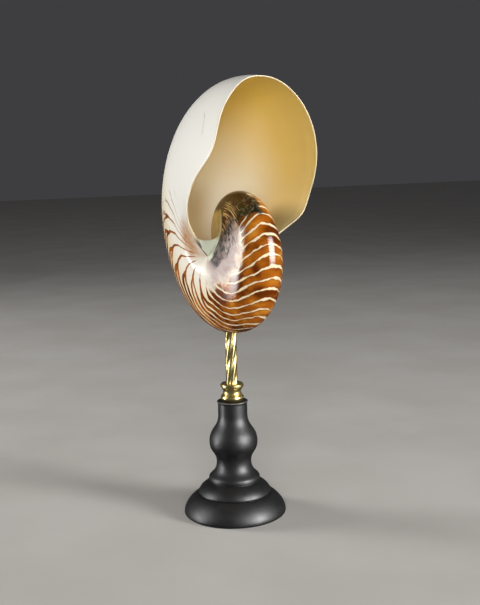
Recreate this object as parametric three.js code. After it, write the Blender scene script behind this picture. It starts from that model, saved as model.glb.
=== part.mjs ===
// Nautilus shell on a turned stand.
// A whole nautilus shell is held up, mouth to the front, on a twisted brass rod. The rod stands in a
// small brass collar on top of a black turned pedestal.
// Millimetres, +Z up. The origin is the middle of the pedestal's underside. The shell coils in the
// plane x = 0 around an axis along X, and its mouth faces -Y.
import * as THREE from 'three';

const DEGREE = Math.PI / 180;
const FULL_TURN = 2 * Math.PI;
const GAP = 0.3; // clearance between pieces that touch

// Shell: the coil. The rim is the outermost line of the whorl, the navel is where the sides close.
const LIP_RADIUS = 112.2; // coil axis to the rim at the lip
const WHORL_GROWTH = 3.08; // radius of one turn over the radius of the turn before it
const LIP_ANGLE = -18.5 * DEGREE; // the rim's lip, from straight up towards the back
const NAVEL_BACK = 5.7; // the navel, from the coil axis towards the back
const NAVEL_UP = -8.1; // the navel, from the coil axis upwards

// Shell: the section of the whorl, as shares of the coil radius.
const HALF_WIDTH = 0.38; // greatest half width
const SHOULDER = 0.323; // radius at which the whorl is widest
const RIM_POWER = 1.83; // roundness of the section towards its rim
const SIDE_POWER = 2.26; // roundness of the section towards its side
const NAVEL_HALF_WIDTH = 18.8; // half width at the navel, in millimetres

// Shell: the lip and the body chamber.
const WALL = 1.4; // thickness of the shell wall
const CHAMBER_TURN = 130 * DEGREE; // how far the open chamber reaches back from the lip
const SEPTUM_BULGE = 10 * DEGREE; // how far the chamber's end wall bows back

// Shell: the lip's two uneven sides. Each stands back at the rim, swings forward in a low crest and falls
// back again towards its navel. Places are counted from the rim (0) to the navel (1).
const LEFT_LIP = {
  notch: 10 * DEGREE, // how far the lip stands back at the rim
  notchEnd: 0.5, // place where the notch ends
  crest: 7.4 * DEGREE,
  crestPlace: 0.418,
  crestSpread: 0.095,
  retreat: 30 * DEGREE, // how far the lip falls back at the navel
};
const RIGHT_LIP = {
  notch: 15.5 * DEGREE,
  notchEnd: 0.549,
  crest: 5.6 * DEGREE,
  crestPlace: 0.744,
  crestSpread: 0.092,
  retreat: 3.3 * DEGREE,
};
const RETREAT_START = 0.7; // place where the lip begins to fall back

// Shell: facets.
const SHOULDER_ACROSS = 0.6; // where the shoulder lies between the rim (0) and the navel (1)
const RIM_STEPS = 10; // columns from the rim to the shoulder
const SIDE_STEPS = 7; // columns from the shoulder to the navel
const TURN_STEPS = 48; // rows in a full turn
const SEPTUM_STEPS = 4;

// Twisted rod.
const ROD_RADIUS = 4.05;
const ROD_LOBES = 6;
const ROD_GROOVE = 0.5; // depth of the grooves between the lobes
const ROD_PITCH = 90; // height of one full twist, right-handed
const ROD_TOP = 127; // just under the lowest point of the shell
const LOBE_STEPS = 4;
const ROD_STEPS = 14;

// Collar.
const COLLAR_HEIGHT = 12.1;
const COLLAR_BEAD = 4.2; // thickness of the bead at its foot
const COLLAR_FOOT = 8; // radius of that bead
const COLLAR_BEAD_END = 50 * DEGREE; // how far round the bead goes above its middle
const COLLAR_WAIST = 6.2;
const COLLAR_WAIST_UP = 6.4; // height of the waist in the collar
const COLLAR_FLANGE = 8; // radius of the flared top
const COLLAR_FLARE = 2.4; // height below the top at which the flare reaches that radius
const COLLAR_EDGE = 0.8; // bevel of the top edge
const COLLAR_SIDES = 24;

// Pedestal.
const PEDESTAL_HEIGHT = 79.6;
const FOOT_RADIUS = 35.4;
const FOOT_ROUND = 1.6; // rounding of the foot's lower edge
const FOOT_TOP = 15.2; // height of the foot
const FOOT_FULL = 8; // height up to which the foot keeps most of its girth
const FOOT_SHOULDER = 27; // radius inside which its top is almost level
const TIER_RADIUS = 25.4; // second tier, on the foot
const TIER_TOP = 23.8;
const TIER_BELLY = 24; // radius and height that the tier's curve bends towards
const TIER_BELLY_UP = 20.2;
const RING_RADIUS = 17.8; // rounded ring, on the second tier
const RING_THICKNESS = 3.2;
const RING_BELLY_UP = 2.4; // height in the ring that its round bends towards
const RING_SHOULDER = 17.2; // radius where its round ends
const FLARE_RADIUS = 14.6; // radius and height that the flare above the ring bends towards
const FLARE_UP = 29.2;
const FLARE_END = 31.6; // height above which the flare runs on almost straight to the waist
const WAIST_RADIUS = 12;
const WAIST_HEIGHT = 36.5;
const BULB_RADIUS = 16.7;
const BULB_HEIGHT = 50.8;
const NECK_RADIUS = 10.1;
const NECK_HEIGHT = 70.2;
const RIM_RADIUS = 10.7;
const RIM_THICKNESS = 1.1;
const PEDESTAL_SIDES = 36;
const CURVE_STEPS = 4; // facets in each curve of a turned outline

// Radius of the coil's rim at a turn, which is counted back from the lip.
function coilRadius(turn) {
  return LIP_RADIUS * WHORL_GROWTH ** (-turn / FULL_TURN);
}

// The coil axis is placed so that the shell's lowest point stands over the rod.
const LOWEST_ANGLE = Math.PI - Math.atan(Math.log(WHORL_GROWTH) / FULL_TURN);
const LOWEST_RADIUS = coilRadius(LOWEST_ANGLE - LIP_ANGLE);
const COIL_BACK = -LOWEST_RADIUS * Math.sin(LOWEST_ANGLE);
const COIL_UP = ROD_TOP + GAP - LOWEST_RADIUS * Math.cos(LOWEST_ANGLE);

// A closed surface is gathered as points and triangles; a row is a list of point numbers.
function makeSurface() {
  return { points: [], triangles: [] };
}

function addPoint(surface, point) {
  surface.points.push(point);
  return surface.points.length - 1;
}

function addTriangle(surface, first, second, third) {
  if (first !== second && second !== third && third !== first) {
    surface.triangles.push(first, second, third);
  }
}

// Joins two rows of equal length with quads, each cut in two; points that the rows share are closed up.
function addStrip(surface, near, far) {
  for (let column = 0; column + 1 < near.length; column += 1) {
    addTriangle(surface, near[column], near[column + 1], far[column + 1]);
    addTriangle(surface, near[column], far[column + 1], far[column]);
  }
}

function toGeometry(surface) {
  const geometry = new THREE.BufferGeometry();
  geometry.setFromPoints(surface.points);
  geometry.setIndex(surface.triangles);
  geometry.computeVertexNormals();
  return geometry;
}

// A point in the shell's coil: side is along the coil axis, radius and angle are around it, and pull
// is how far the point has moved over from the coil axis to the navel.
function coilPoint(side, radius, angle, pull) {
  return new THREE.Vector3(
    side,
    COIL_BACK + radius * Math.sin(angle) + pull * NAVEL_BACK,
    COIL_UP + radius * Math.cos(angle) + pull * NAVEL_UP,
  );
}

// A point of the shell's wall. turn goes back from the lip, across runs from the navel on the -X side
// (-1) over the rim (0) to the navel on the +X side (1), and depth is how far in from the outer face.
function wallPoint(turn, across, depth) {
  const reach = Math.abs(across);
  const radius = coilRadius(turn);
  const shoulder = radius * SHOULDER;
  const halfWidth = radius * HALF_WIDTH - depth;
  const angle = LIP_ANGLE + turn;
  if (reach <= SHOULDER_ACROSS) {
    const sweep = (reach / SHOULDER_ACROSS) * (Math.PI / 2);
    const rise = Math.max(Math.cos(sweep), 0) ** (2 / RIM_POWER);
    const spread = Math.sin(sweep) ** (2 / SIDE_POWER);
    const height = shoulder + (radius - shoulder - depth) * rise;
    return coilPoint(Math.sign(across) * halfWidth * spread, height, angle, 0);
  }
  const inward = (reach - SHOULDER_ACROSS) / (1 - SHOULDER_ACROSS);
  const side = halfWidth + (NAVEL_HALF_WIDTH - depth - halfWidth) * inward ** 2;
  return coilPoint(Math.sign(across) * side, shoulder * (1 - inward), angle, inward);
}

// How far the lip lies from the rim's own lip: it stands forward on the sides, with a shallow bay in each.
function lipTurn(across) {
  const reach = Math.abs(across);
  const side = across < 0 ? LEFT_LIP : RIGHT_LIP;
  const forward = side.notch * THREE.MathUtils.smoothstep(reach, 0, side.notchEnd);
  const crest = side.crest * Math.exp(-(((reach - side.crestPlace) / side.crestSpread) ** 2));
  const retreat = side.retreat * THREE.MathUtils.smoothstep(reach, RETREAT_START, 1);
  return retreat - forward - crest;
}

// Places across the whorl, navel to navel.
function acrossSteps() {
  const steps = [];
  const last = RIM_STEPS + SIDE_STEPS;
  for (let step = -last; step <= last; step += 1) {
    const beyond = Math.max(Math.abs(step) - RIM_STEPS, 0);
    const upTo = Math.min(Math.abs(step), RIM_STEPS);
    const reach = SHOULDER_ACROSS * (upTo / RIM_STEPS) + (1 - SHOULDER_ACROSS) * (beyond / SIDE_STEPS);
    steps.push(Math.sign(step) * reach);
  }
  return steps;
}

// The shell is one closed surface. Its outer face winds once round from the lip and runs on under the
// lip as the chamber's floor. The floor turns up at the septum, and the chamber's inner wall comes back
// from there to the lip. Floor and inner wall meet in a corner one column short of each navel.
function makeShell() {
  const surface = makeSurface();
  const places = acrossSteps();
  const rowTurn = FULL_TURN / TURN_STEPS;
  const chamberSteps = Math.round(CHAMBER_TURN / rowTurn);
  const cornerAcross = places[places.length - 2];
  const inside = places.slice(1, -1);
  const navels = [
    addPoint(surface, wallPoint(0, -1, 0)),
    addPoint(surface, wallPoint(0, 1, 0)),
  ];
  const rows = [];
  for (let step = 0; step <= TURN_STEPS + chamberSteps; step += 1) {
    const row = inside.map((across) => (
      addPoint(surface, wallPoint(lipTurn(across) + step * rowTurn, across, 0))
    ));
    rows.push(row);
  }
  const wholeRow = (row) => [navels[0], ...row, navels[1]];
  for (let step = 0; step < TURN_STEPS; step += 1) {
    addStrip(surface, wholeRow(rows[step]), wholeRow(rows[step + 1]));
  }

  const floor = rows.slice(TURN_STEPS);
  for (let step = 0; step < chamberSteps; step += 1) {
    addStrip(surface, floor[step], floor[step + 1]);
  }

  const innerRows = floor.map((floorRow, step) => inside.map((across, column) => {
    if (column === 0 || column === inside.length - 1) {
      return floorRow[column];
    }
    const turn = lipTurn(across) + step * rowTurn;
    const endAcross = Math.sign(across) * cornerAcross;
    const corner = surface.points[floorRow[across < 0 ? 0 : inside.length - 1]];
    const closing = Math.max(Math.abs(across) - SHOULDER_ACROSS, 0) / (cornerAcross - SHOULDER_ACROSS);
    const wallEnd = wallPoint(lipTurn(endAcross) + step * rowTurn, endAcross, WALL);
    const toCorner = corner.clone().sub(wallEnd).multiplyScalar(closing ** 3);
    return addPoint(surface, wallPoint(turn, across, WALL).add(toCorner));
  }));

  const septumRows = [floor[chamberSteps]];
  for (let step = 1; step < SEPTUM_STEPS; step += 1) {
    const share = step / SEPTUM_STEPS;
    const bow = new THREE.Quaternion().setFromAxisAngle(
      new THREE.Vector3(-1, 0, 0),
      SEPTUM_BULGE * Math.sin(Math.PI * share),
    );
    const centre = coilPoint(0, 0, 0, 0);
    septumRows.push(inside.map((across, column) => {
      const floorNumber = floor[chamberSteps][column];
      const innerNumber = innerRows[chamberSteps][column];
      if (floorNumber === innerNumber) {
        return floorNumber;
      }
      const point = surface.points[floorNumber].clone().lerp(surface.points[innerNumber], share);
      return addPoint(surface, point.sub(centre).applyQuaternion(bow).add(centre));
    }));
  }
  septumRows.push(innerRows[chamberSteps]);
  for (let step = 0; step < SEPTUM_STEPS; step += 1) {
    addStrip(surface, septumRows[step], septumRows[step + 1]);
  }

  for (let step = chamberSteps; step > 0; step -= 1) {
    addStrip(surface, innerRows[step], innerRows[step - 1]);
  }
  addStrip(surface, innerRows[0], rows[0]);
  const lipEnd = inside.length - 1;
  addStrip(surface, [navels[0], floor[0][0]], [navels[0], rows[0][0]]);
  addStrip(surface, [floor[0][lipEnd], navels[1]], [rows[0][lipEnd], navels[1]]);
  return toGeometry(surface);
}

// The rod is a six-lobed bar, twisted evenly and cut off flat at both ends.
function makeRod(bottom, top) {
  const surface = makeSurface();
  const sides = ROD_LOBES * LOBE_STEPS;
  const rows = [];
  for (let step = 0; step <= ROD_STEPS; step += 1) {
    const height = THREE.MathUtils.lerp(bottom, top, step / ROD_STEPS);
    const row = [];
    for (let side = 0; side < sides; side += 1) {
      const around = (FULL_TURN * side) / sides;
      const groove = ROD_GROOVE * (1 - Math.abs(Math.cos((around * ROD_LOBES) / 2)));
      const angle = around + (FULL_TURN * (height - bottom)) / ROD_PITCH;
      const radius = ROD_RADIUS - groove;
      const point = new THREE.Vector3(radius * Math.cos(angle), radius * Math.sin(angle), height);
      row.push(addPoint(surface, point));
    }
    rows.push([...row, row[0]]);
  }
  for (let step = 0; step < ROD_STEPS; step += 1) {
    addStrip(surface, rows[step], rows[step + 1]);
  }
  const foot = addPoint(surface, new THREE.Vector3(0, 0, bottom));
  const head = addPoint(surface, new THREE.Vector3(0, 0, top));
  const lowEnd = rows[0].map(() => foot);
  const highEnd = rows[ROD_STEPS].map(() => head);
  addStrip(surface, lowEnd, rows[0]);
  addStrip(surface, rows[ROD_STEPS], highEnd);
  return toGeometry(surface);
}

// A turned piece from an outline of radius and height that starts and ends on the axis.
function turn(outline, sides) {
  const geometry = new THREE.LatheGeometry(outline.getPoints(CURVE_STEPS), sides);
  geometry.rotateX(Math.PI / 2);
  return geometry;
}

function makeCollar(bottom) {
  const beadRound = COLLAR_BEAD / 2;
  const beadEdge = COLLAR_FOOT - beadRound;
  const top = bottom + COLLAR_HEIGHT;
  const flare = top - COLLAR_FLARE;
  const waist = bottom + COLLAR_WAIST_UP;
  const outline = new THREE.Path();
  outline.moveTo(0, bottom);
  outline.lineTo(beadEdge, bottom);
  outline.absarc(beadEdge, bottom + beadRound, beadRound, -Math.PI / 2, COLLAR_BEAD_END, false);
  outline.quadraticCurveTo(COLLAR_WAIST, bottom + COLLAR_BEAD, COLLAR_WAIST, waist);
  outline.quadraticCurveTo(COLLAR_WAIST, (waist + flare) / 2, COLLAR_FLANGE, flare);
  outline.lineTo(COLLAR_FLANGE, top - COLLAR_EDGE);
  outline.lineTo(COLLAR_FLANGE - COLLAR_EDGE, top);
  outline.lineTo(0, top);
  return turn(outline, COLLAR_SIDES);
}

function makePedestal() {
  const ringTop = TIER_TOP + RING_THICKNESS;
  const footEdge = FOOT_RADIUS - FOOT_ROUND;
  const neckTop = PEDESTAL_HEIGHT - RIM_THICKNESS;
  const waistToBulb = (BULB_HEIGHT - WAIST_HEIGHT) / 2;
  const bulbToNeck = (NECK_HEIGHT - BULB_HEIGHT) / 2;
  const outline = new THREE.Path();
  outline.moveTo(0, 0);
  outline.lineTo(footEdge, 0);
  outline.absarc(footEdge, FOOT_ROUND, FOOT_ROUND, -Math.PI / 2, 0, false);
  outline.bezierCurveTo(FOOT_RADIUS, FOOT_FULL, FOOT_SHOULDER, FOOT_TOP, TIER_RADIUS, FOOT_TOP);
  outline.quadraticCurveTo(TIER_BELLY, TIER_BELLY_UP, RING_RADIUS, TIER_TOP);
  outline.quadraticCurveTo(RING_RADIUS, TIER_TOP + RING_BELLY_UP, RING_SHOULDER, ringTop);
  outline.bezierCurveTo(FLARE_RADIUS, FLARE_UP, WAIST_RADIUS, FLARE_END, WAIST_RADIUS, WAIST_HEIGHT);
  outline.bezierCurveTo(
    WAIST_RADIUS, WAIST_HEIGHT + waistToBulb,
    BULB_RADIUS, BULB_HEIGHT - waistToBulb,
    BULB_RADIUS, BULB_HEIGHT,
  );
  outline.bezierCurveTo(
    BULB_RADIUS, BULB_HEIGHT + bulbToNeck,
    NECK_RADIUS, NECK_HEIGHT - bulbToNeck,
    NECK_RADIUS, NECK_HEIGHT,
  );
  outline.lineTo(NECK_RADIUS, neckTop);
  outline.lineTo(RIM_RADIUS, neckTop);
  outline.lineTo(RIM_RADIUS, PEDESTAL_HEIGHT);
  outline.lineTo(0, PEDESTAL_HEIGHT);
  return turn(outline, PEDESTAL_SIDES);
}

const shellFinish = new THREE.MeshStandardMaterial({ color: 0xe6d2ae, roughness: 0.2, metalness: 0 });
const rodFinish = new THREE.MeshStandardMaterial({ color: 0xcfb45a, roughness: 0.2, metalness: 1 });
const collarFinish = new THREE.MeshStandardMaterial({ color: 0xcfb45a, roughness: 0.25, metalness: 1 });
const pedestalFinish = new THREE.MeshStandardMaterial({ color: 0x232325, roughness: 0.45, metalness: 0 });

function addPiece(group, name, geometry, finish) {
  const piece = new THREE.Mesh(geometry, finish);
  piece.name = name;
  group.add(piece);
}

const collarBottom = PEDESTAL_HEIGHT + GAP;
const rodBottom = collarBottom + COLLAR_HEIGHT + GAP;

const group = new THREE.Group();
addPiece(group, 'pedestal', makePedestal(), pedestalFinish);
addPiece(group, 'collar', makeCollar(collarBottom), collarFinish);
addPiece(group, 'rod', makeRod(rodBottom, ROD_TOP), rodFinish);
addPiece(group, 'shell', makeShell(), shellFinish);

export default group;
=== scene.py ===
"""A whole nautilus shell on a turned stand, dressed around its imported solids.

Blender's metres, +Z up, in the solids' own frame: the shell coils in the plane x = 0 and its mouth
faces -Y. Sizes are written in millimetres and scaled where a mesh is made.
"""
import math

import bpy
import numpy as np
from mathutils import Matrix, Vector


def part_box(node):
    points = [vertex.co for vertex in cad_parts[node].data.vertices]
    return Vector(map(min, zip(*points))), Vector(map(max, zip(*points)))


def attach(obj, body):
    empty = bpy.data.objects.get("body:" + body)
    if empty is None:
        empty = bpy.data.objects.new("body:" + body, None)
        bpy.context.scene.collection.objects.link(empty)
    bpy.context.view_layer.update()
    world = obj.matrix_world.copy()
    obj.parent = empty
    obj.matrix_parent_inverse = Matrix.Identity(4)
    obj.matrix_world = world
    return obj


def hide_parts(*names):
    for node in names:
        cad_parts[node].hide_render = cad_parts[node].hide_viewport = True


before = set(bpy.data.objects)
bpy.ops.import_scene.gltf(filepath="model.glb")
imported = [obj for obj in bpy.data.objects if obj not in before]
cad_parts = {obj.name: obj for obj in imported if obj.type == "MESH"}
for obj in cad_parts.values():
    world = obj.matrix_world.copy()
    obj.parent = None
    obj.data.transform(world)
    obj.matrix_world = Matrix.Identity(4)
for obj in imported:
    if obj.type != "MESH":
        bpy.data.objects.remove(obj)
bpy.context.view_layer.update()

# Camera
# The photograph looks into the shell's mouth from a little above, off to the mouth's left. Its lens is
# given as a focal length in pixels of a picture 605 pixels high.
VIEW_PLACE = Vector((-0.3222, -0.5779, 0.2444))
VIEW_TURN = -0.5191
VIEW_DOWN = 0.1453
VIEW_ROLL = -0.0253
PICTURE_HEIGHT = 605
FOCAL_PIXELS = 983.3
SENSOR_HEIGHT = 36

lens = bpy.data.cameras.new("camera")
lens.sensor_fit = "VERTICAL"
lens.sensor_height = SENSOR_HEIGHT
lens.lens = FOCAL_PIXELS * SENSOR_HEIGHT / PICTURE_HEIGHT
camera = bpy.data.objects.new("camera", lens)
camera.matrix_world = (
    Matrix.Translation(VIEW_PLACE)
    @ Matrix.Rotation(VIEW_TURN, 4, "Z")
    @ Matrix.Rotation(math.pi / 2 - VIEW_DOWN, 4, "X")
    @ Matrix.Rotation(VIEW_ROLL, 4, "Z")
)
bpy.context.scene.collection.objects.link(camera)
bpy.context.scene.camera = camera

# Pedestal
# A stand turned from one piece of wood: a foot in two tiers with fine step lines, a thin ring with a
# flare above it, a waist, a bulb and a neck with a thin rim. It was sanded smooth and sprayed satin
# black. The paint softens the turned corners, and a light grey highlight is painted on the rim's edge.
MM = 0.001
FULL_TURN = 2 * math.pi
PEDESTAL_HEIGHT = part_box("pedestal")[1].z / MM
FOOT_RADIUS = 35.4
FOOT_ROUND = 1.6
FOOT_TOP = 15.2
FOOT_FULL = 8
FOOT_SHOULDER = 27
TIER_RADIUS = 25.4
TIER_TOP = 23.8
TIER_BELLY = 24
TIER_BELLY_UP = 20.2
RING_RADIUS = 17.8
RING_TOP = 27
RING_BELLY_UP = 26.2
RING_SHOULDER = 17.2
FLARE_RADIUS = 14.6
FLARE_UP = 29.2
FLARE_END = 31.6
UNDERCUT = 1
STEP_LINE = 0.5
GROOVE = 0.35
WAIST_RADIUS = 12
WAIST_HEIGHT = 36.5
BULB_RADIUS = 16.7
BULB_HEIGHT = 50.8
NECK_RADIUS = 10.1
NECK_HEIGHT = 70.2
RIM_RADIUS = 10.7
RIM_THICKNESS = 1.1
PEDESTAL_SIDES = 128
PEDESTAL_SPACING = 0.35
CURVE_STEPS = 64
ARC_STEPS = 32
PAINT_PASSES = 2
BLACK = (6, 6, 7)
BLACK_DUSTY = (13, 13, 13)
# The light grey below is a painted highlight on the rim's top edge.
RIM_HIGHLIGHT_GREY = (112, 110, 106)
RIM_HIGHLIGHT_START = 0.55
RIM_HIGHLIGHT_FULL = 0.2
RIM_HIGHLIGHT_LOWEST = 0.7
RIM_HIGHLIGHT_FULL_UP = 0.3
PAINT_ROUGHNESS = (0.44, 0.52)
PAINT_RELIEF = (0.00012, 0.3)


def colour(red, green, blue):
    """A shader colour from the 0 to 255 values that a screen shows."""
    linear = []
    for value in (red, green, blue):
        share = value / 255
        linear.append(share / 12.92 if share <= 0.04045 else ((share + 0.055) / 1.055) ** 2.4)
    return (*linear, 1.0)


def curve(*points):
    """Points along the Bezier curve that a few points steer."""
    share = np.linspace(0, 1, CURVE_STEPS + 1)[:, None]
    rows = [np.array(point, float) + 0 * share for point in points]
    while len(rows) > 1:
        rows = [near + (far - near) * share for near, far in zip(rows, rows[1:])]
    return rows[0]


def arc(centre, radius, start, end):
    """Points along an arc, with its angles in turns."""
    angle = np.linspace(start, end, ARC_STEPS + 1) * FULL_TURN
    return np.stack([centre[0] + radius * np.cos(angle), centre[1] + radius * np.sin(angle)], -1)


def even_outline(stretches, spacing, passes):
    """Joins stretches of outline, spaces the points evenly and rounds the corners by a few passes."""
    points = np.concatenate([np.atleast_2d(stretch) for stretch in stretches]).astype(float)
    run = np.concatenate([[0], np.cumsum(np.hypot(*np.diff(points, axis=0).T))])
    steps = np.linspace(0, run[-1], round(run[-1] / spacing) + 1)
    points = np.stack([np.interp(steps, run, points[:, axis]) for axis in (0, 1)], -1)
    for _ in range(passes):
        points[1:-1] = (points[:-2] + 2 * points[1:-1] + points[2:]) / 4
    return points


def strips(rows):
    """The triangles between neighbouring rows of point numbers; points that rows share are closed up."""
    near, far = rows[:-1], rows[1:]
    lower = np.stack([near[:, :-1], near[:, 1:], far[:, 1:]], -1)
    upper = np.stack([near[:, :-1], far[:, 1:], far[:, :-1]], -1)
    faces = np.concatenate([lower.reshape(-1, 3), upper.reshape(-1, 3)])
    return faces[(faces != np.roll(faces, 1, axis=1)).all(axis=1)]


def add_piece(name, points, faces, finishes):
    """A smooth mesh piece from points in millimetres. Points that no face uses are left out."""
    used, faces = np.unique(faces, return_inverse=True)
    mesh = bpy.data.meshes.new(name)
    mesh.from_pydata((points[used] * MM).tolist(), [], faces.reshape(-1, 3).tolist())
    mesh.shade_smooth()
    for finish in finishes:
        mesh.materials.append(finish.material)
    piece = bpy.data.objects.new(name, mesh)
    bpy.context.scene.collection.objects.link(piece)
    return piece, used


def round_piece(name, rings, finish):
    """A piece from rings of points around the axis. The first ring and the last lie on the axis."""
    numbers = np.arange(rings[..., 0].size).reshape(rings.shape[:2])
    numbers[:, -1] = numbers[:, 0]
    numbers[0] = numbers[0, 0]
    numbers[-1] = numbers[-1, 0]
    return add_piece(name, rings.reshape(-1, 3), strips(numbers), [finish])[0]


def turn_piece(name, outline, sides, finish):
    """A piece turned on a lathe, from an outline of radius and height that starts and ends on the axis."""
    around = np.linspace(0, FULL_TURN, sides + 1)
    radius = outline[:, :1]
    height = outline[:, 1:] + 0 * around
    rings = np.stack([radius * np.cos(around), radius * np.sin(around), height], -1)
    return round_piece(name, rings, finish)


class Finish:
    """A material of shader nodes. Its calls take numbers or sockets and give sockets.

    A relief in its bump is a depth in metres and a strength.
    """

    def __init__(self, name):
        self.material = bpy.data.materials.new(name)
        self.material.use_nodes = True
        self.nodes = self.material.node_tree.nodes
        self.links = self.material.node_tree.links
        self.shader = self.nodes["Principled BSDF"]

    def put(self, socket, value):
        if isinstance(value, bpy.types.NodeSocket):
            self.links.new(value, socket)
        else:
            socket.default_value = value

    def set(self, name, value):
        self.put(self.shader.inputs[name], value)

    def place(self):
        return self.nodes.new("ShaderNodeTexCoord").outputs["Object"]

    def parts(self, place):
        node = self.nodes.new("ShaderNodeSeparateXYZ")
        self.put(node.inputs[0], place)
        return node.outputs

    def squared_from_axis(self, place):
        x, y, _ = self.parts(place)
        return self.calc("ADD", self.calc("MULTIPLY", x, x), self.calc("MULTIPLY", y, y))

    def attribute(self, name):
        node = self.nodes.new("ShaderNodeAttribute")
        node.attribute_name = name
        return node.outputs["Fac"]

    def stretched(self, place, scale):
        node = self.nodes.new("ShaderNodeMapping")
        self.put(node.inputs["Vector"], place)
        node.inputs["Scale"].default_value = scale
        return node.outputs[0]

    def joined(self, x, y, z):
        node = self.nodes.new("ShaderNodeCombineXYZ")
        for socket, value in zip(node.inputs, (x, y, z)):
            self.put(socket, value)
        return node.outputs[0]

    def calc(self, operation, first, second=0.0):
        node = self.nodes.new("ShaderNodeMath")
        node.operation = operation
        self.put(node.inputs[0], first)
        self.put(node.inputs[1], second)
        return node.outputs[0]

    def fade(self, value, start, end, low=0.0, high=1.0):
        node = self.nodes.new("ShaderNodeMapRange")
        node.interpolation_type = "SMOOTHSTEP"
        for socket, setting in zip(node.inputs, (value, start, end, low, high)):
            self.put(socket, setting)
        return node.outputs[0]

    def noise(self, place, scale, detail=2.0):
        node = self.nodes.new("ShaderNodeTexNoise")
        self.put(node.inputs["Vector"], place)
        node.inputs["Scale"].default_value = scale
        node.inputs["Detail"].default_value = detail
        return node.outputs[0]

    def chance(self, number):
        node = self.nodes.new("ShaderNodeTexWhiteNoise")
        node.noise_dimensions = "1D"
        self.put(node.inputs["W"], number)
        return node.outputs["Value"]

    def blend(self, share, first, second):
        node = self.nodes.new("ShaderNodeMix")
        node.data_type = "RGBA"
        self.put(node.inputs[0], share)
        self.put(node.inputs[6], first)
        self.put(node.inputs[7], second)
        return node.outputs[2]

    def bump(self, height, distance, strength=1.0):
        node = self.nodes.new("ShaderNodeBump")
        node.inputs["Distance"].default_value = distance
        node.inputs["Strength"].default_value = strength
        self.put(node.inputs["Height"], height)
        self.set("Normal", node.outputs[0])


black_paint = Finish("satin black paint")
place = black_paint.place()
height = black_paint.parts(place)[2]
from_axis = black_paint.calc("SQRT", black_paint.squared_from_axis(place))
dust = black_paint.fade(black_paint.noise(place, 90, 6), 0.45, 0.75)
paint = black_paint.blend(dust, colour(*BLACK), colour(*BLACK_DUSTY))
# A light grey highlight is painted in patches along the rim's top edge.
rim_highlight = black_paint.calc(
    "MULTIPLY",
    black_paint.fade(from_axis, (RIM_RADIUS - RIM_HIGHLIGHT_START) * MM, (RIM_RADIUS - RIM_HIGHLIGHT_FULL) * MM),
    black_paint.fade(height, (PEDESTAL_HEIGHT - RIM_HIGHLIGHT_LOWEST) * MM, (PEDESTAL_HEIGHT - RIM_HIGHLIGHT_FULL_UP) * MM),
)
patches = black_paint.fade(black_paint.noise(place, 400), 0.3, 0.6)
rim_highlight = black_paint.calc("MULTIPLY", rim_highlight, patches)
black_paint.set("Base Color", black_paint.blend(rim_highlight, paint, colour(*RIM_HIGHLIGHT_GREY)))
spray = black_paint.noise(place, 240, 4)
black_paint.set("Roughness", black_paint.fade(spray, 0.25, 0.75, *PAINT_ROUGHNESS))
black_paint.set("Specular IOR Level", 1.0)
black_paint.bump(black_paint.noise(place, 1500, 3), *PAINT_RELIEF)

foot_edge = FOOT_RADIUS - FOOT_ROUND
waist_to_bulb = (BULB_HEIGHT - WAIST_HEIGHT) / 2
bulb_to_neck = (NECK_HEIGHT - BULB_HEIGHT) / 2
neck_top = PEDESTAL_HEIGHT - RIM_THICKNESS
pedestal_outline = even_outline([
    (0, 0),
    arc((foot_edge, FOOT_ROUND), FOOT_ROUND, -0.25, 0),
    curve(
        (FOOT_RADIUS, FOOT_ROUND),
        (FOOT_RADIUS, FOOT_FULL),
        (FOOT_SHOULDER, FOOT_TOP),
        (TIER_RADIUS - UNDERCUT, FOOT_TOP - STEP_LINE),
    ),
    curve(
        (TIER_RADIUS, FOOT_TOP),
        (TIER_BELLY, TIER_BELLY_UP),
        (RING_RADIUS - UNDERCUT, TIER_TOP - STEP_LINE),
    ),
    curve((RING_RADIUS, TIER_TOP), (RING_RADIUS, RING_BELLY_UP), (RING_SHOULDER, RING_TOP)),
    (RING_SHOULDER - GROOVE, RING_TOP),
    curve(
        (RING_SHOULDER - GROOVE, RING_TOP + GROOVE),
        (FLARE_RADIUS, FLARE_UP),
        (WAIST_RADIUS, FLARE_END),
        (WAIST_RADIUS, WAIST_HEIGHT),
    ),
    curve(
        (WAIST_RADIUS, WAIST_HEIGHT),
        (WAIST_RADIUS, WAIST_HEIGHT + waist_to_bulb),
        (BULB_RADIUS, BULB_HEIGHT - waist_to_bulb),
        (BULB_RADIUS, BULB_HEIGHT),
    ),
    curve(
        (BULB_RADIUS, BULB_HEIGHT),
        (BULB_RADIUS, BULB_HEIGHT + bulb_to_neck),
        (NECK_RADIUS, NECK_HEIGHT - bulb_to_neck),
        (NECK_RADIUS, NECK_HEIGHT),
    ),
    (NECK_RADIUS, neck_top),
    (RIM_RADIUS, neck_top),
    (RIM_RADIUS, PEDESTAL_HEIGHT),
    (0, PEDESTAL_HEIGHT),
], PEDESTAL_SPACING, PAINT_PASSES)
pedestal = turn_piece("painted_pedestal", pedestal_outline, PEDESTAL_SIDES, black_paint)
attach(pedestal, "root")
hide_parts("pedestal")

# Collar
# A small brass ferrule on the pedestal's top, turned and polished: a rounded bead with a fine step at its
# foot, a waist and a flared flange that the rod comes out of.
COLLAR_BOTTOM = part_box("collar")[0].z / MM
COLLAR_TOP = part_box("collar")[1].z / MM
COLLAR_BEAD = 4.2
COLLAR_FOOT = 8
COLLAR_BEAD_END = 50 / 360
COLLAR_STEP = 6.9
COLLAR_STEP_UP = 4.2
COLLAR_LINE = 0.45
COLLAR_WAIST = 6.2
COLLAR_WAIST_UP = 6.4
COLLAR_FLANGE = 8
COLLAR_FLARE = 2.4
COLLAR_EDGE = 0.8
COLLAR_SIDES = 112
COLLAR_SPACING = 0.14
POLISH_PASSES = 4
COLLAR_MARKS = (60, 60, 9000)
BRASS = (224, 206, 142)
BRASS_DULL = (182, 158, 98)
BRASS_ROUGHNESS = (0.33, 0.41)
BRASS_RELIEF = (0.00003, 0.15)


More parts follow.
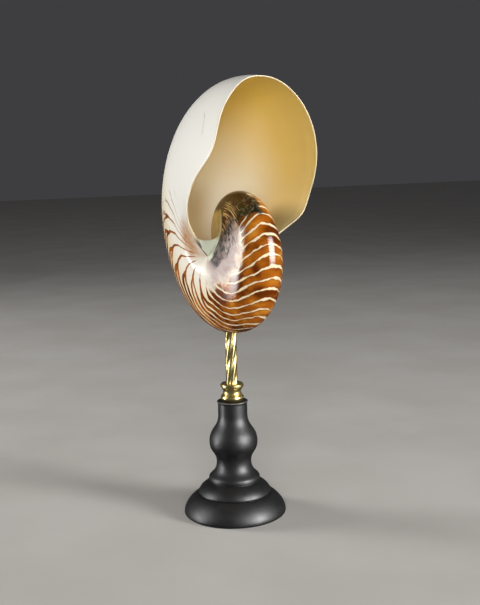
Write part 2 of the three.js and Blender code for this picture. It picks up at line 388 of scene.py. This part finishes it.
def brass_finish(name, marks):
    """Polished brass: marks is how the fine marks of the work are stretched along the piece."""
    finish = Finish(name)
    place = finish.place()
    dull = finish.fade(finish.noise(place, 120, 3), 0.4, 0.8, 0.0, 0.7)
    finish.set("Base Color", finish.blend(dull, colour(*BRASS), colour(*BRASS_DULL)))
    finish.set("Metallic", 1.0)
    finish.set("Roughness", finish.fade(finish.noise(place, 200, 3), 0.3, 0.8, *BRASS_ROUGHNESS))
    finish.bump(finish.noise(finish.stretched(place, marks), 1.0, 2), *BRASS_RELIEF)
    return finish


bead_round = COLLAR_BEAD / 2
bead_edge = COLLAR_FOOT - bead_round
collar_step = COLLAR_BOTTOM + COLLAR_STEP_UP
collar_waist = COLLAR_BOTTOM + COLLAR_WAIST_UP
collar_flare = COLLAR_TOP - COLLAR_FLARE
collar_outline = even_outline([
    (0, PEDESTAL_HEIGHT),
    (bead_edge, PEDESTAL_HEIGHT),
    arc((bead_edge, COLLAR_BOTTOM + bead_round), bead_round, -0.25, COLLAR_BEAD_END),
    (COLLAR_STEP - COLLAR_LINE, collar_step - COLLAR_LINE),
    (COLLAR_STEP, collar_step),
    curve(
        (COLLAR_STEP, collar_step + COLLAR_LINE),
        (COLLAR_WAIST, collar_step + COLLAR_LINE),
        (COLLAR_WAIST, collar_waist),
    ),
    curve(
        (COLLAR_WAIST, collar_waist),
        (COLLAR_WAIST, (collar_waist + collar_flare) / 2),
        (COLLAR_FLANGE, collar_flare),
    ),
    (COLLAR_FLANGE, COLLAR_TOP - COLLAR_EDGE),
    (COLLAR_FLANGE - COLLAR_EDGE, COLLAR_TOP),
    (0, COLLAR_TOP),
], COLLAR_SPACING, POLISH_PASSES)
turned_brass = brass_finish("turned brass", COLLAR_MARKS)
collar = turn_piece("brass_collar", collar_outline, COLLAR_SIDES, turned_brass)
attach(collar, "root")
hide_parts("collar")

# Rod
# A brass bar with six rounded lobes, twisted evenly to the right. It stands in the collar, and its
# upper end is fixed to the underside of the shell.
ROD_SUNK = 1
ROD_INTO_SHELL = 0.6
ROD_BOTTOM = COLLAR_TOP - ROD_SUNK
ROD_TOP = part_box("shell")[0].z / MM + ROD_INTO_SHELL
ROD_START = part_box("rod")[0].z / MM
ROD_RADIUS = 4.05
ROD_LOBES = 6
ROD_GROOVE = 0.45
ROD_PITCH = 90
ROD_SIDES = 144
ROD_ROWS = 120
ROD_MARKS = (3000, 3000, 200)

around = np.linspace(0, FULL_TURN, ROD_SIDES + 1)
height = np.linspace(ROD_BOTTOM, ROD_TOP, ROD_ROWS + 1)[:, None]
lobe = ROD_RADIUS - ROD_GROOVE * np.sin(around * ROD_LOBES / 2) ** 2
twist = around + FULL_TURN * (height - ROD_START) / ROD_PITCH
bar = np.stack([lobe * np.cos(twist), lobe * np.sin(twist), height + 0 * twist], -1)
foot = np.zeros_like(bar[:1]) + (0, 0, ROD_BOTTOM)
head = np.zeros_like(bar[:1]) + (0, 0, ROD_TOP)
drawn_brass = brass_finish("twisted brass", ROD_MARKS)
rod = round_piece("twisted_rod", np.concatenate([foot, bar, head]), drawn_brass)
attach(rod, "root")
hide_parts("rod")

# Shell
# A natural nautilus shell, grown as one coil: polished outside, ivory with orange-brown flame stripes on
# the older part, and satin gold inside the open chamber. The chamber's floor is the older whorl, which
# has the animal's black film and a pale callus beside the navels.
LIP_RADIUS = 112.2
WHORL_GROWTH = 3.08
LIP_ANGLE = math.radians(-18.5)
NAVEL_BACK = 5.7
NAVEL_UP = -8.1
HALF_WIDTH = 0.38
SHOULDER = 0.323
RIM_POWER = 1.83
SIDE_POWER = 2.26
NAVEL_HALF_WIDTH = 18.8
WALL = 1.4
LIP_WALL = 0.8
LIP_TAPER = math.radians(9)
LIP_ROUND = 0.3
LEFT_LIP = {
    "notch": 10, "notch_end": 0.5, "crest": 7.4, "crest_at": 0.418, "spread": 0.095, "retreat": 30,
}
RIGHT_LIP = {
    "notch": 15.5, "notch_end": 0.549, "crest": 5.6, "crest_at": 0.744, "spread": 0.092, "retreat": 3.3,
}
RETREAT_START = 0.7
CHAMBER_TURN = math.radians(130)
SEPTUM_BULGE = math.radians(10)
SHOULDER_ACROSS = 0.6
SHELL_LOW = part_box("shell")[0].z / MM
RIM_STEPS = 50
SIDE_STEPS = 28
CORNER_STEPS = 4
TURN_STEPS = 300
SEPTUM_STEPS = 12
LIP_STEPS = 6

lowest_angle = math.pi - math.atan(math.log(WHORL_GROWTH) / FULL_TURN)
lowest_radius = LIP_RADIUS * WHORL_GROWTH ** ((LIP_ANGLE - lowest_angle) / FULL_TURN)
COIL_BACK = -lowest_radius * math.sin(lowest_angle)
COIL_UP = SHELL_LOW - lowest_radius * math.cos(lowest_angle)


def smooth_step(value):
    share = np.clip(value, 0, 1)
    return share * share * (3 - 2 * share)


def wall_point(turn, across, depth):
    """Points of the shell's wall: turn goes back from the lip, across from navel (-1) to navel (1)."""
    reach = np.abs(across)
    radius = LIP_RADIUS * WHORL_GROWTH ** (-turn / FULL_TURN)
    shoulder = radius * SHOULDER
    half_width = radius * HALF_WIDTH - depth
    sweep = np.minimum(reach / SHOULDER_ACROSS, 1) * math.pi / 2
    rise = np.maximum(np.cos(sweep), 0) ** (2 / RIM_POWER)
    inward = np.maximum((reach - SHOULDER_ACROSS) / (1 - SHOULDER_ACROSS), 0)
    outward = shoulder + (radius - shoulder - depth) * rise
    height = np.where(inward > 0, shoulder * (1 - inward), outward)
    bowed = half_width + (NAVEL_HALF_WIDTH - depth - half_width) * inward ** 2
    side = np.where(inward > 0, bowed, half_width * np.sin(sweep) ** (2 / SIDE_POWER))
    angle = LIP_ANGLE + turn
    return np.stack([
        np.sign(across) * side,
        COIL_BACK + height * np.sin(angle) + inward * NAVEL_BACK,
        COIL_UP + height * np.cos(angle) + inward * NAVEL_UP,
    ], -1)


def lip_side(reach, notch, notch_end, crest, crest_at, spread, retreat):
    """One side of the lip: back at the rim, forward in a low crest, and back again towards the navel."""
    forward = notch * smooth_step(reach / notch_end) + crest * np.exp(-((reach - crest_at) / spread) ** 2)
    return np.radians(retreat * smooth_step((reach - RETREAT_START) / (1 - RETREAT_START)) - forward)


def lip_turn(across):
    """How far the lip lies behind the lip at the rim. Its two sides are uneven."""
    reach = np.abs(across)
    return np.where(across < 0, lip_side(reach, **LEFT_LIP), lip_side(reach, **RIGHT_LIP))


class ShellSurface:
    """Gathers grids of points with the values that the finishes read at each point."""

    def __init__(self):
        self.points = []
        self.values = {"turn": [], "across": [], "growth": [], "edge": []}
        self.count = 0

    def add(self, points, **values):
        numbers = self.count + np.arange(points[..., 0].size).reshape(points.shape[:-1])
        self.points.append(points.reshape(-1, 3))
        for name, gathered in self.values.items():
            gathered.append(np.broadcast_to(values.get(name, 0), numbers.shape).reshape(-1))
        self.count += numbers.size
        return numbers


rim_to_shoulder = np.linspace(0, SHOULDER_ACROSS, RIM_STEPS + 1)
shoulder_to_navel = np.linspace(SHOULDER_ACROSS, 1, SIDE_STEPS + 1)[1:]
half_across = np.concatenate([rim_to_shoulder, shoulder_to_navel])
whole_across = np.concatenate([-half_across[:0:-1], half_across])
inside = slice(CORNER_STEPS, -CORNER_STEPS)
row_turn = FULL_TURN / TURN_STEPS
chamber_steps = round(CHAMBER_TURN / row_turn)
growth = np.arange(TURN_STEPS + chamber_steps + 1)[:, None] * row_turn
turn = growth + lip_turn(whole_across)
surface = ShellSurface()

# The outer face winds once round from the lip and runs on under it as the chamber's floor.
outer_points = wall_point(turn, whole_across, 0)
outer = surface.add(outer_points, turn=turn, across=whole_across, growth=growth)
outer[:, 0] = outer[0, 0]
outer[:, -1] = outer[0, -1]
floor = outer[TURN_STEPS:, inside]
floor_points = outer_points[TURN_STEPS:, inside]

# The chamber's inner wall lies one wall's thickness in, thins towards the lip and bends down to meet the
# floor in a corner.
across = whole_across[inside]
chamber_turn = turn[:chamber_steps + 1, inside]
chamber_growth = growth[:chamber_steps + 1]
corner_across = np.sign(across) * across[-1]
closing = np.maximum(np.abs(across) - SHOULDER_ACROSS, 0) / (across[-1] - SHOULDER_ACROSS)
corner_points = np.where(across[:, None] < 0, floor_points[:, :1], floor_points[:, -1:])
wall = LIP_WALL + (WALL - LIP_WALL) * smooth_step(chamber_growth / LIP_TAPER)
to_corner = corner_points - wall_point(chamber_growth + lip_turn(corner_across), corner_across, wall)
inner_points = wall_point(chamber_turn, across, wall) + to_corner * closing[:, None] ** 3
inner = surface.add(inner_points, turn=chamber_turn, across=across, growth=chamber_growth)
inner[:, 0] = floor[:, 0]
inner[:, -1] = floor[:, -1]

# The septum closes the chamber's end and bows back.
share = (np.arange(1, SEPTUM_STEPS) / SEPTUM_STEPS)[:, None]
flat = floor_points[-1] + (inner_points[-1] - floor_points[-1]) * share[..., None]
bow = SEPTUM_BULGE * np.sin(math.pi * share)
back = flat[..., 1] - COIL_BACK
up = flat[..., 2] - COIL_UP
septum_points = np.stack([
    flat[..., 0],
    COIL_BACK + back * np.cos(bow) + up * np.sin(bow),
    COIL_UP - back * np.sin(bow) + up * np.cos(bow),
], -1)
septum = surface.add(septum_points, turn=chamber_turn[-1], across=across, growth=chamber_growth[-1])
septum[:, 0] = floor[-1, 0]
septum[:, -1] = floor[-1, -1]

# The lip's edge is rounded over from the inner wall to the outer face.
lip_inside = outer[TURN_STEPS].copy()
lip_inside[inside] = inner[0]
lip_inside_points = outer_points[TURN_STEPS].copy()
lip_inside_points[inside] = inner_points[0]
share = (np.arange(1, LIP_STEPS) / LIP_STEPS)[:, None]
ahead = wall_point(turn[0] - row_turn, whole_across, WALL / 2)
ahead -= wall_point(turn[0], whole_across, WALL / 2)
ahead /= np.maximum(np.linalg.norm(ahead, axis=1, keepdims=True), MM)
lip_points = lip_inside_points + (outer_points[0] - lip_inside_points) * share[..., None]
lip_points = lip_points + ahead * LIP_ROUND * np.sin(math.pi * share)[..., None]
lip = surface.add(lip_points, turn=turn[0], across=whole_across, edge=1)
lip[:, 0] = outer[0, 0]
lip[:, -1] = outer[0, -1]

# In both corners behind the lip a smooth callus fills the groove between the wall and the older whorl.
# Each row spans from the wall to the whorl, and the first row runs down to the lip and the whorl.
CALLUS_ON_WALL = 0.87
CALLUS_ON_WHORL = 0.7
CALLUS_GROOVE = 0.98
CALLUS_FILL = 0.6
CALLUS_DEPTH = math.radians(70)
CALLUS_RAMP = math.radians(24)
CALLUS_SUNK = 0.2
CALLUS_ACROSS = 0.9
# The patch is olive painted shade in the corner by the wall and pales towards the whorl.
CALLUS_PALE_TURN = math.radians(300)
CALLUS_SHADE_TURN = math.radians(385)
CALLUS_SHADE_SPAN = 0.35
CALLUS_ROWS = 40
CALLUS_STEPS = 20
callus_faces = []
for side in (-1, 1):
    span = np.linspace(0, 1, CALLUS_STEPS + 1)
    depth = np.linspace(0, CALLUS_DEPTH, CALLUS_ROWS + 1)[:, None]
    on_wall = wall_point(depth + lip_turn(side * CALLUS_ON_WALL), side * CALLUS_ON_WALL, WALL)
    on_whorl = wall_point(FULL_TURN + depth + lip_turn(side * CALLUS_ON_WHORL), side * CALLUS_ON_WHORL, 0)
    groove = wall_point(FULL_TURN + depth + lip_turn(side * CALLUS_GROOVE), side * CALLUS_GROOVE, 0)
    shrink = (1 - smooth_step(depth / CALLUS_DEPTH))[..., None]
    on_wall = groove + (on_wall - groove) * shrink
    on_whorl = groove + (on_whorl - groove) * shrink
    steer = groove + ((on_wall + on_whorl) / 2 - groove) * CALLUS_FILL
    share = span[:, None]
    rows = on_wall * (1 - share) ** 2 + 2 * steer * share * (1 - share) + on_whorl * share ** 2
    wall_share = np.minimum(span * 2, 1)
    whorl_share = np.maximum(span * 2 - 1, 0)
    reach = np.where(
        span < 0.5,
        CALLUS_ON_WALL + (1 - CALLUS_ON_WALL) * wall_share,
        1 - (1 - CALLUS_ON_WHORL) * whorl_share,
    )
    ramp = CALLUS_RAMP * smooth_step(whorl_share * 2)
    front_turn = lip_turn(side * reach) + np.where(span < 0.5, 0, FULL_TURN) - ramp
    front = wall_point(front_turn, side * reach, CALLUS_SUNK)
    paling = smooth_step(span / CALLUS_SHADE_SPAN)
    patch_turn = CALLUS_SHADE_TURN + (CALLUS_PALE_TURN - CALLUS_SHADE_TURN) * paling
    numbers = surface.add(np.concatenate([front[None], rows]), turn=patch_turn, across=side * CALLUS_ACROSS)
    callus_faces.append(strips(numbers[:, ::side]))

polished_faces = np.concatenate([
    strips(outer[:TURN_STEPS + 1]),
    strips(floor),
    strips(np.concatenate([lip_inside[None], lip, outer[:1]])),
    *callus_faces,
])
chamber_faces = np.concatenate([
    strips(np.concatenate([floor[-1:], septum, inner[-1:]])),
    strips(inner[::-1]),
])

# The outside's markings. Places along the coil are in degrees of turn back from the lip, and places
# across it run from the rim (0) to a navel (1).
IVORY = (236, 233, 224)
CREAM = (234, 214, 174)
STRIPE = (160, 88, 16)
STRIPE_DARK = (94, 40, 3)
STRIPE_AMBER = (200, 132, 40)
STRIPE_THIN = (150, 82, 28)
NAVEL_TAN = (190, 140, 92)
PINK_WHITE = (172, 154, 148)
CALLUS = (208, 212, 190)
CALLUS_SHADE_OLIVE = (172, 152, 84)
STREAK_GREY = (42, 44, 50)
STREAK_BROWN = (128, 112, 106)
FILM_BLACK = (20, 22, 14)
FILM_BROWN = (62, 27, 10)
FILM_GOLD = (218, 188, 140)
FILM_GREY = (118, 112, 94)
FLOOR_TAN = (204, 184, 128)
LIP_CREAM = (232, 214, 176)
CRACK = (150, 140, 126)
SHELL_ROUGHNESS = (0.1, 0.36)
SHELL_RELIEF = (0.0003, 0.25)

polished = Finish("polished shell")
place = polished.place()
turn_value = polished.attribute("turn")
across_value = polished.attribute("across")
growth_value = polished.attribute("growth")
edge_value = polished.attribute("edge")
reach = polished.calc("ABSOLUTE", across_value)


def swing(scale, amount, detail=2.0):
    """Noise around zero that strays up to about half of amount each way."""
    around_zero = polished.calc("SUBTRACT", polished.noise(place, scale, detail), 0.5)
    return polished.calc("MULTIPLY", around_zero, amount)


def both(*shares):
    """Where all of the shares hold."""
    result = shares[0]
    for share in shares[1:]:
        result = polished.calc("MULTIPLY", result, share)
    return result


# Flame stripes run down the sides and fork towards the rim. A stripe's place is counted in degrees
# of turn, and its two branches lie a quarter of the spacing to each side of its middle.
STRIPE_SPACING = 17.2
STRIPE_WANDER = 12
STRIPE_RAGGED = 1.5
BRANCH_WIDE = 3.5
BRANCH_THIN = 1.6
STRIPE_SOFT = 0.4
STRIPES_START = (34, 60)
STRIPES_STOP = (352, 336)
STRIPE_LEAN = (54, 20)
STRIPE_FORK = (0.6, 0.46)
FORK_SPREAD = 0.12
RIGHT_STOP_LATER = 110

lean = both(polished.fade(reach, 0, 0.6), polished.fade(turn_value, 205, 300, *STRIPE_LEAN))
wander = polished.calc("ADD", swing(50, STRIPE_WANDER), swing(420, STRIPE_RAGGED, 3))
crowding = polished.fade(turn_value, 30, 110, -14, 0)
flow = polished.calc("ADD", turn_value, crowding)
flow = polished.calc("ADD", flow, polished.calc("ADD", lean, wander))
beat = polished.calc("DIVIDE", flow, STRIPE_SPACING)
chance = polished.chance(polished.calc("FLOOR", beat))
from_middle = polished.calc("ABSOLUTE", polished.calc("SUBTRACT", polished.calc("FRACT", beat), 0.5))
from_middle = polished.calc("MULTIPLY", from_middle, STRIPE_SPACING)
to_navel = polished.calc("SUBTRACT", reach, polished.fade(turn_value, 180, 225, 0, 0.15))
fork_place = polished.calc("ADD", to_navel, polished.calc("MULTIPLY", chance, FORK_SPREAD))
branch_place = polished.fade(fork_place, *STRIPE_FORK, 0, STRIPE_SPACING / 4)
from_branch = polished.calc("ABSOLUTE", polished.calc("SUBTRACT", from_middle, branch_place))
half_width = both(
    polished.fade(to_navel, 0.22, 0.56, BRANCH_WIDE, BRANCH_THIN),
    polished.fade(turn_value, 34, 100, 0.35, 1),
    polished.fade(polished.noise(place, 130), 0.25, 0.75, 0.85, 1.15),
)
stripe_edge = polished.calc("SUBTRACT", from_branch, half_width)
stripe_end = polished.calc(
    "SUBTRACT",
    polished.fade(turn_value, 130, 205, 0.9, 0.52),
    polished.fade(turn_value, 215, 290, 0, 0.15),
)
past_end = polished.calc("SUBTRACT", polished.calc("ADD", reach, swing(160, 0.14)), stripe_end)
faint_end = both(
    polished.fade(past_end, 0.2, 0.02, 0, 0.3),
    polished.fade(polished.noise(place, 300), 0.42, 0.6),
)
to_right = polished.calc("MAXIMUM", across_value, 0.0)
right_turn = polished.calc("SUBTRACT", turn_value, polished.calc("MULTIPLY", to_right, RIGHT_STOP_LATER))
stripe_age = polished.calc("SUBTRACT", turn_value, polished.fade(reach, 0.4, 0.56, 42, 0))
stripe = both(
    polished.fade(stripe_edge, STRIPE_SOFT, -STRIPE_SOFT),
    polished.calc("MAXIMUM", polished.fade(past_end, 0, -0.05), faint_end),
    polished.fade(polished.calc("ADD", stripe_age, swing(90, 20)), *STRIPES_START),
    polished.fade(right_turn, *STRIPES_STOP),
)

# The ground colour: plain ivory by the lip, cream between the stripes, pinkish white and then a pale
# callus towards the navels of the older whorl, and tan where the lines crowd together by the lip's end.
CREAM_TURNS = (40, 110)
BARE_TURNS = (190, 225)

creamy = both(polished.fade(turn_value, *CREAM_TURNS), polished.fade(reach, 0.58, 0.4, 0.25, 1))
ground = polished.blend(creamy, colour(*IVORY), colour(*CREAM))
bare = both(polished.fade(past_end, -0.06, 0.06), polished.fade(turn_value, *BARE_TURNS))
ground = polished.blend(bare, ground, colour(*PINK_WHITE))
haze = both(
    polished.fade(reach, 0.7, 0.8),
    polished.fade(reach, 0.96, 0.86, 0.4, 1),
    polished.fade(turn_value, -10, 40, 0.3, 1),
    polished.fade(turn_value, 150, 100),
    polished.fade(polished.noise(place, 260, 3), 0.2, 0.7, 0.5, 1),
)
ground = polished.blend(haze, ground, colour(*NAVEL_TAN))

stripe_tone = polished.noise(polished.stretched(place, (0.5, 1, 1)), 80, 2)
mid_tone = polished.fade(stripe_tone, 0.36, 0.56)
light_tone = polished.fade(stripe_tone, 0.54, 0.72)
edge_tone = polished.fade(stripe_edge, -1.4, 0, 0, 0.45)
stripe_colour = polished.blend(mid_tone, colour(*STRIPE_DARK), colour(*STRIPE))
stripe_colour = polished.blend(light_tone, stripe_colour, colour(*STRIPE_AMBER))
stripe_colour = polished.blend(edge_tone, stripe_colour, colour(*STRIPE_DARK))
stripe_colour = polished.blend(polished.fade(reach, 0.42, 0.62), stripe_colour, colour(*STRIPE_THIN))
outside = polished.blend(stripe, ground, stripe_colour)

# On the older whorl a mottled grey streak runs from the navel up to the black film. Beyond it lies the
# pale callus, with olive painted shade where it runs into the chamber.
STREAK_TURNS = (222, 245)
CALLUS_TURNS = (205, 240)
CALLUS_SHADE_TURNS = (345, 385)

patchy = polished.calc("ADD", reach, swing(180, 0.1, 3))
streak_low = polished.fade(turn_value, 245, 335, 0.6, 0.31)
streak_high = polished.fade(turn_value, 300, 415, 0.86, 0.2)
past_streak = polished.calc("SUBTRACT", patchy, streak_high)
callus = both(polished.fade(past_streak, -0.02, 0.03), polished.fade(turn_value, *CALLUS_TURNS))
# Olive painted shade darkens the callus deeper in the chamber.
callus_shade = polished.fade(turn_value, *CALLUS_SHADE_TURNS)
callus_colour_and_shade = polished.blend(callus_shade, colour(*CALLUS), colour(*CALLUS_SHADE_OLIVE))
in_streak = polished.calc(
    "DIVIDE",
    polished.calc("SUBTRACT", patchy, streak_low),
    polished.calc("SUBTRACT", streak_high, streak_low),
)
strokes = polished.joined(
    polished.calc("MULTIPLY", turn_value, 0.09),
    polished.calc("MULTIPLY", across_value, 46),
    0.0,
)
thickening = polished.calc(
    "ADD", polished.fade(in_streak, 0, 0.7, -0.02, 0.2), polished.fade(turn_value, 285, 250, 0, 0.25),
)
mottle = polished.calc("ADD", polished.noise(strokes, 1.0, 4), thickening)
streak = both(
    polished.fade(mottle, 0.44, 0.58),
    polished.fade(in_streak, -0.05, 0.1),
    polished.fade(past_streak, 0.03, -0.01),
    polished.fade(turn_value, *STREAK_TURNS),
)
streak_tone = polished.fade(polished.noise(place, 260, 4), 0.42, 0.62)
streak_colour = polished.blend(streak_tone, colour(*STREAK_GREY), colour(*STREAK_BROWN))
outside = polished.blend(streak, outside, streak_colour)
outside = polished.blend(callus, outside, callus_colour_and_shade)

# The black film lies on the rim of the older whorl just under the chamber. It is rubbed through to gold
# beside the rim and turns brown towards the depth of the chamber.
FILM_TURNS = (319, 324)
FILM_FULL_TURNS = (346, 360)
FLOOR_TURNS = (372, 400)

film_front = polished.calc("ADD", turn_value, swing(170, 24, 3))
film_side = polished.calc("ADD", across_value, swing(150, 0.16))
film_narrow = both(
    polished.fade(film_front, *FILM_TURNS),
    polished.fade(film_side, -0.4, -0.34),
    polished.fade(film_side, 0.04, -0.02),
)
film_full = both(polished.fade(film_front, *FILM_FULL_TURNS), polished.fade(past_streak, 0.02, -0.02))
film = polished.calc("MAXIMUM", film_narrow, film_full)
browning = both(
    polished.fade(polished.noise(place, 240, 4), 0.4, 0.62, 0.15, 1),
    polished.fade(film_front, 326, 344),
)
film_colour = polished.blend(browning, colour(*FILM_BLACK), colour(*FILM_BROWN))
film_specks = both(
    polished.fade(polished.noise(place, 520, 4), 0.5, 0.64),
    polished.fade(film_front, 356, 340, 0, 0.5),
)
film_colour = polished.blend(film_specks, film_colour, colour(*FILM_GREY))
outside = polished.blend(film, outside, film_colour)
along = polished.joined(
    polished.calc("MULTIPLY", turn_value, 0.03),
    polished.calc("MULTIPLY", across_value, 46),
    0.0,
)
rubbed = both(
    polished.fade(past_streak, 0.0, -0.06),
    polished.fade(film_side, -0.24, -0.36),
    polished.fade(film_front, 328, 340),
    polished.fade(film_front, 376, 356),
)
rubbed_lines = polished.fade(polished.noise(along, 1.0, 4), 0.46, 0.62)
rubbed_colour = polished.blend(rubbed_lines, colour(*FILM_BROWN), colour(*FILM_GOLD))
outside = polished.blend(rubbed, outside, rubbed_colour)
film_end = polished.calc("SUBTRACT", film_front, polished.fade(reach, 0.5, 0.1, 0, 45))
outside = polished.blend(polished.fade(film_end, *FLOOR_TURNS), outside, colour(*FLOOR_TAN))

# Fine gold marks lie round the place where the shell is fixed to the rod.
MARKS_REACH = 9
MARKS_FULL = 5
MARKS_UP = 9
MARKS_FULL_UP = 4

height = polished.parts(place)[2]
thread = polished.noise(polished.stretched(place, (1, 1, 0.4)), 260, 2)
rod_marks = both(
    polished.fade(polished.calc("ABSOLUTE", polished.calc("SUBTRACT", thread, 0.5)), 0.03, 0.012),
    polished.fade(polished.squared_from_axis(place), (MARKS_REACH * MM) ** 2, (MARKS_FULL * MM) ** 2),
    polished.fade(height, (SHELL_LOW + MARKS_UP) * MM, (SHELL_LOW + MARKS_FULL_UP) * MM),
)
outside = polished.blend(rod_marks, outside, colour(*FILM_GOLD))

# A hairline crack follows the growth lines in the ivory. The lip's edge is cream, with a grey painted
# shadow line beside the navels, where it meets the callus.
CRACK_GROWTH = 13.6
CRACK_SHADE = 0.8

crack_off = polished.calc("SUBTRACT", growth_value, CRACK_GROWTH)
crack_off = polished.calc("ADD", crack_off, swing(90, 2.4, 3))
crack = both(
    polished.fade(polished.calc("ABSOLUTE", crack_off), 0.3, 0.1),
    polished.fade(across_value, -0.4, -0.37),
    polished.fade(across_value, -0.29, -0.31),
    CRACK_SHADE,
)
outside = polished.blend(crack, outside, colour(*CRACK))
# Painted shadow: the lip's edge turns grey beside the navels, where it meets the callus.
lip_end_shadow = polished.fade(reach, 0.85, 0.91, 0, 0.85)
lip_colour_and_shadow = polished.blend(lip_end_shadow, colour(*LIP_CREAM), colour(*STREAK_GREY))
outside = polished.blend(edge_value, outside, lip_colour_and_shadow)
polished.set("Base Color", outside)

# The stripes are glossy. The plain ivory by the lip, the film and the pale zones are satin.
SATIN_TURNS = (140, 60)
SATIN_IVORY = 0.9
SATIN_FILM = 0.5

satin = polished.calc("MAXIMUM", bare, callus)
satin = polished.calc("MAXIMUM", polished.fade(film, 0, 1, 0, SATIN_FILM), satin)
satin = polished.calc("MAXIMUM", satin, polished.fade(turn_value, *SATIN_TURNS, 0, SATIN_IVORY))
polished.set("Roughness", polished.fade(satin, 0, 1, *SHELL_ROUGHNESS))
polished.set("Specular IOR Level", 0.5)
growth_lines = polished.joined(
    growth_value,
    polished.calc("MULTIPLY", across_value, 3),
    0.0,
)
polished.bump(polished.noise(growth_lines, 1.1, 4), *SHELL_RELIEF)

# Inside, the nacre is gold near the lip and pales to cream in the depth of the chamber. Its left side is
# tan, and its right side is paler, with darker painted shade towards the lip's end.
NACRE_GOLD = (234, 202, 94)
NACRE_CREAM = (250, 250, 244)
NACRE_TAN = (178, 146, 68)
NACRE_OLIVE = (236, 208, 146)
NACRE_TIP_SHADE = (118, 106, 74)
NACRE_ROUGHNESS = (0.36, 0.44)
NACRE_RELIEF = (0.0003, 0.15)

nacre = Finish("chamber nacre")
place = nacre.place()
depth = nacre.attribute("growth")
across_value = nacre.attribute("across")
depth = nacre.calc("ADD", depth, nacre.calc("MULTIPLY", nacre.noise(place, 30), 16))
pale = nacre.calc("MULTIPLY", nacre.fade(depth, 30, 110), nacre.fade(across_value, -0.3, 0.25, 0.2, 1))
right_side = nacre.fade(across_value, 0, 0.4, 0, 0.45)
gold = nacre.blend(right_side, colour(*NACRE_GOLD), colour(*NACRE_OLIVE))
lining = nacre.blend(pale, gold, colour(*NACRE_CREAM))
lining = nacre.blend(nacre.fade(across_value, -0.35, -0.75), lining, colour(*NACRE_TAN))
lining = nacre.blend(nacre.fade(across_value, 0.4, 0.75, 0, 0.8), lining, colour(*NACRE_OLIVE))
# Painted shade darkens the right side towards the lip's end.
lining = nacre.blend(nacre.fade(across_value, 0.64, 0.8, 0, 0.75), lining, colour(*NACRE_TIP_SHADE))
deep_left = nacre.fade(across_value, 0.3, 0.1, 0, 0.7)
deep_left = nacre.calc("MULTIPLY", deep_left, nacre.fade(depth, 80, 105))
lining = nacre.blend(deep_left, lining, colour(*NACRE_TAN))
nacre.set("Base Color", lining)
nacre.set("Roughness", nacre.fade(nacre.noise(place, 160, 3), 0.3, 0.7, *NACRE_ROUGHNESS))
nacre.bump(nacre.noise(nacre.joined(depth, across_value, 0.0), 0.8, 3), *NACRE_RELIEF)

faces = np.concatenate([polished_faces, chamber_faces])
shell_points = np.concatenate(surface.points)
shell, used = add_piece("nautilus_shell", shell_points, faces, [polished, nacre])
lining_slot = np.repeat((0, 1), (len(polished_faces), len(chamber_faces)))
shell.data.polygons.foreach_set("material_index", lining_slot.astype(np.int32))
for name, gathered in surface.values.items():
    values = np.concatenate(gathered)[used]
    if name in ("turn", "growth"):
        values = np.degrees(values)
    attribute = shell.data.attributes.new(name, "FLOAT", "POINT")
    attribute.data.foreach_set("value", values.astype(np.float32))
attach(shell, "root")
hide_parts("shell")

# Floor
# A wide plain floor of pale matt board under the object.
FLOOR_HALF = 6.0
FLOOR_PALE = (214, 210, 203)
FLOOR_PALER = (222, 219, 213)
FLOOR_ROUGHNESS = 0.75

board = Finish("pale board")
tone = board.fade(board.noise(board.place(), 9, 4), 0.3, 0.7)
board.set("Base Color", board.blend(tone, colour(*FLOOR_PALE), colour(*FLOOR_PALER)))
board.set("Roughness", FLOOR_ROUGHNESS)
board.set("Specular IOR Level", 0.0)
board_mesh = bpy.data.meshes.new("floor")
corners = [(x * FLOOR_HALF, y * FLOOR_HALF, 0) for x, y in ((-1, -1), (1, -1), (1, 1), (-1, 1))]
board_mesh.from_pydata(corners, [], [(0, 1, 2, 3)])
board_mesh.materials.append(board.material)
floor_board = bpy.data.objects.new("floor", board_mesh)
floor_board.visible_glossy = False
bpy.context.scene.collection.objects.link(floor_board)

# Light
# Three hooded soft boxes light the object from the left, the right and the front without showing in its
# gloss. Two glows beside it show only in the gloss, as its highlights, and the room around is dim.
LIGHT_AIM = Vector((0, 0, 0.17))
LIGHT_SPREAD = math.radians(90)
ROOM = (62, 62, 64)


def soft_box(name, right, toward, up, width, tall, power, glow=False):
    """A soft box placed as seen from the camera: to the right, toward the camera and up.

    A glow shows only in the gloss, and any other box only lights the object.
    """
    light = bpy.data.lights.new(name, "AREA")
    light.shape = "RECTANGLE"
    light.size = width
    light.size_y = tall
    light.energy = power
    light.spread = LIGHT_SPREAD
    box = bpy.data.objects.new(name, light)
    box.location = Matrix.Rotation(VIEW_TURN, 4, "Z") @ Vector((right, -toward, up))
    box.rotation_euler = (LIGHT_AIM - box.location).to_track_quat("-Z", "Y").to_euler()
    box.visible_glossy = glow
    box.visible_diffuse = not glow
    bpy.context.scene.collection.objects.link(box)


soft_box("left_box", right=-2.0, toward=-0.6, up=0.4, width=0.85, tall=1.0, power=12.0)
soft_box("right_box", right=1.9, toward=1.1, up=0.6, width=0.6, tall=1.0, power=11.8)
soft_box("front_lamp", right=0.0, toward=2.4, up=0.6, width=1.1, tall=1.0, power=10.2)
soft_box("left_glow", right=-0.84, toward=0.08, up=0.22, width=0.18, tall=0.94, power=2.1, glow=True)
soft_box("right_glow", right=0.72, toward=0.5, up=0.32, width=0.46, tall=0.55, power=4.0, glow=True)
room = bpy.data.worlds.new("room")
room.use_nodes = True
room.node_tree.nodes["Background"].inputs["Color"].default_value = colour(*ROOM)
bpy.context.scene.world = room
bpy.context.scene.view_settings.view_transform = "Standard"
